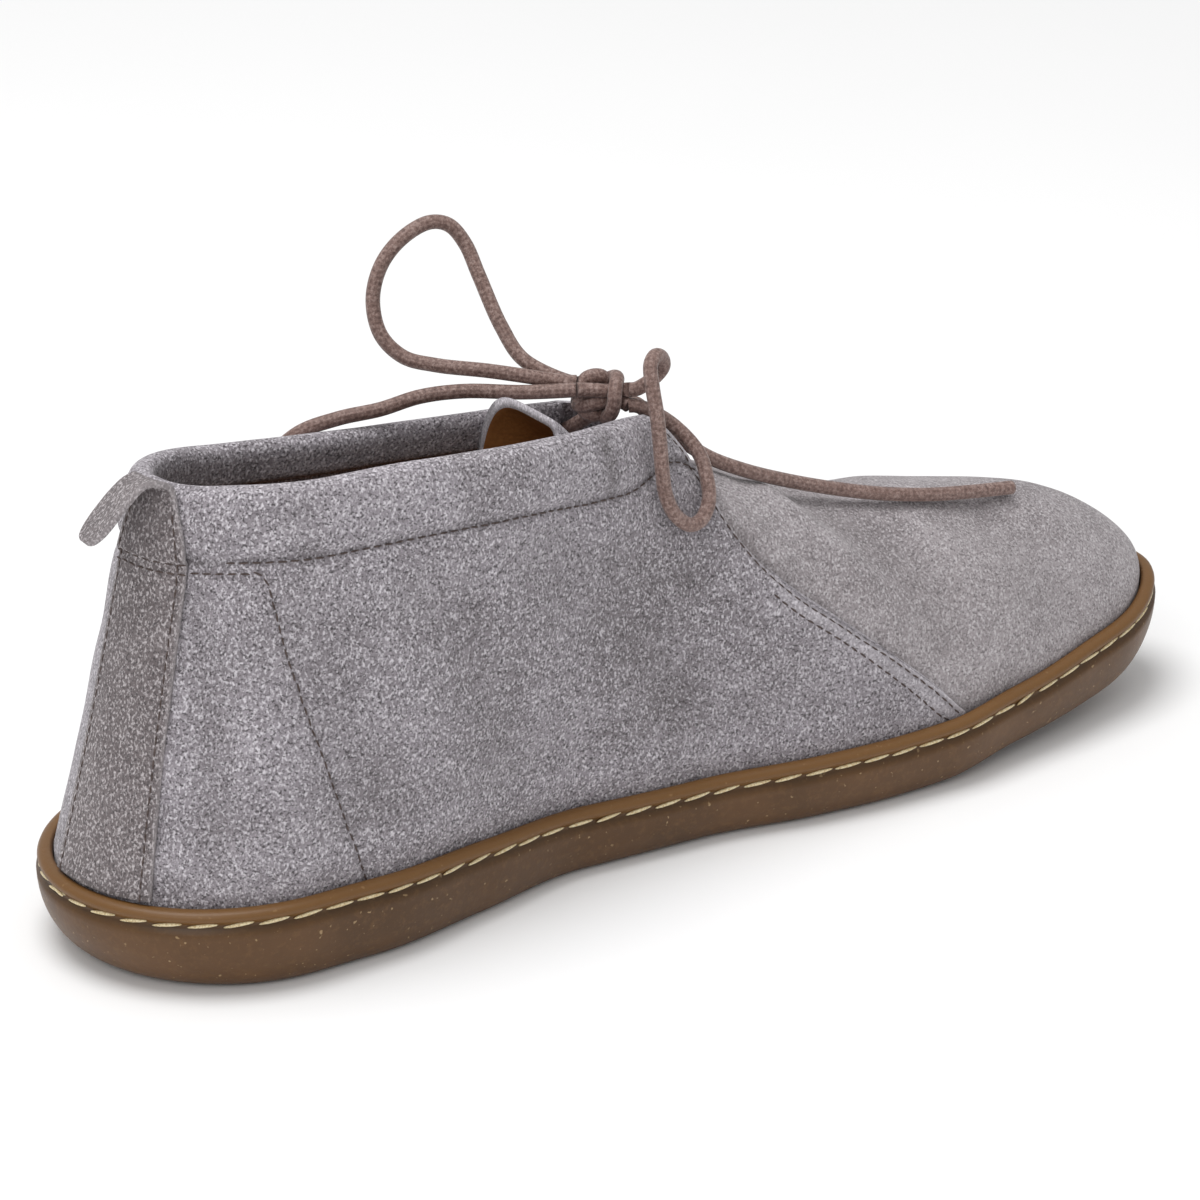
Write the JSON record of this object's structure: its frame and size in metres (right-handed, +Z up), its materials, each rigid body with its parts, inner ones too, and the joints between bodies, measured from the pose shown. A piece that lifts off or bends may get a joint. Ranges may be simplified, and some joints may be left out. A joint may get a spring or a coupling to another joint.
{
  "type": "lace-up ankle shoe",
  "caption": "Low ankle-high suede shoe with a folded collar band, laced by one round lace in a bow, on a moulded gum-rubber cup sole.",
  "frame": {"origin": "middle of the shoe's box on the floor, the free laces left out", "axes": "+X towards the toe, +Y towards the outer side of the foot, +Z up"},
  "size_m": [0.268, 0.0848, 0.1253],
  "materials": {
    "outsole": "matt gum rubber",
    "insole": "smooth leather over foam",
    "upper": "suede",
    "tongue": "suede",
    "heel_strip": "suede",
    "lace": "waxed round braid"
  },
  "bodies": {
    "root": {"outsole": "outsole", "insole": "insole", "upper": "upper", "tongue": "tongue", "heel_strip": "heel_strip", "lace_bar_inner": "lace", "lace_bar_outer": "lace", "lace_knot": "lace", "lace_loop_tall": "lace", "lace_loop_low": "lace", "lace_end_back": "lace", "lace_end_front": "lace"}
  },
  "joints": []
}
